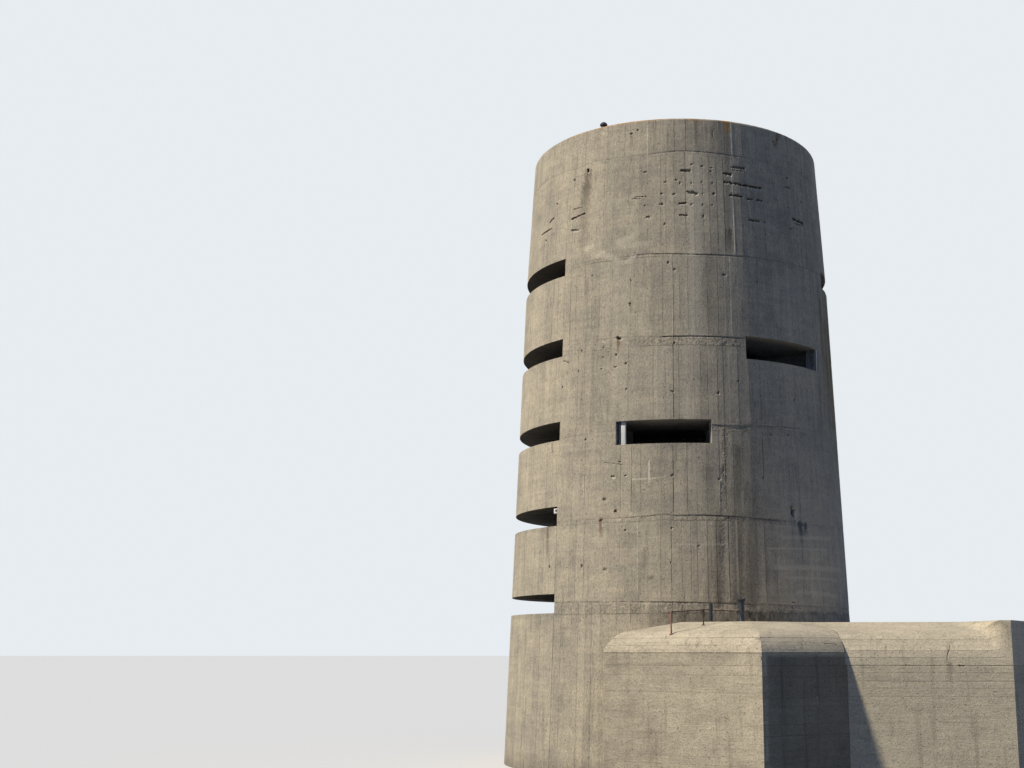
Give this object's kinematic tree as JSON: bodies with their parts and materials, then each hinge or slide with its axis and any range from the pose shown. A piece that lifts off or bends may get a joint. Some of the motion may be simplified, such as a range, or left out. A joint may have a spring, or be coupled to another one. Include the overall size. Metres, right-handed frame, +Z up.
{
  "type": "coastal observation tower",
  "caption": "Battered round concrete lookout tower with wrap-around observation slits over its seaward side and a low bunker with rounded eaves at its foot.",
  "frame": {"origin": "the shaft's axis at ground level, under the ground floor", "axes": "+Z up the shaft, -Y to the landward side where the bunker stands, +X to the right seen from there"},
  "size_m": [14.4444, 14.8798, 19.0253],
  "materials": {
    "shaft_concrete": "board-marked weathered concrete",
    "floor_concrete": "rough cast concrete",
    "bunker_concrete": "board-marked weathered concrete",
    "window_steel": "chalky old paint",
    "vent_iron": "matt dark iron",
    "rail_iron": "rusty iron"
  },
  "bodies": {
    "root": {"base_landward_wall": "shaft_concrete", "base_right_wall": "shaft_concrete", "base_left_wall": "shaft_concrete", "first_landward_wall": "shaft_concrete", "first_right_wall": "shaft_concrete", "first_left_wall": "shaft_concrete", "second_landward_wall": "shaft_concrete", "second_right_wall": "shaft_concrete", "second_left_wall": "shaft_concrete", "third_landward_wall": "shaft_concrete", "third_right_wall": "shaft_concrete", "third_left_wall": "shaft_concrete", "fourth_landward_wall": "shaft_concrete", "fourth_right_wall": "shaft_concrete", "fourth_left_wall": "shaft_concrete", "head_landward_wall": "shaft_concrete", "head_right_wall": "shaft_concrete", "head_left_wall": "shaft_concrete", "landward_parapet": "shaft_concrete", "seaward_parapet": "shaft_concrete", "ground_floor": "floor_concrete", "first_floor": "floor_concrete", "second_floor": "floor_concrete", "third_floor": "floor_concrete", "fourth_floor": "floor_concrete", "fifth_floor": "floor_concrete", "tower_roof": "floor_concrete", "bunker_left_wall": "bunker_concrete", "bunker_right_wall": "bunker_concrete", "bunker_return_wall": "bunker_concrete", "wing_front_wall": "bunker_concrete", "wing_end_wall": "bunker_concrete", "wing_side_wall": "bunker_concrete", "wing_rear_wall": "bunker_concrete", "bunker_roof": "bunker_concrete", "wing_roof": "bunker_concrete", "low_window_post": "window_steel", "high_window_posts": "window_steel", "vent_pipe": "vent_iron", "cowl_pipe": "vent_iron", "guard_rail": "rail_iron", "roof_vent_cap": "vent_iron"}
  },
  "joints": []
}
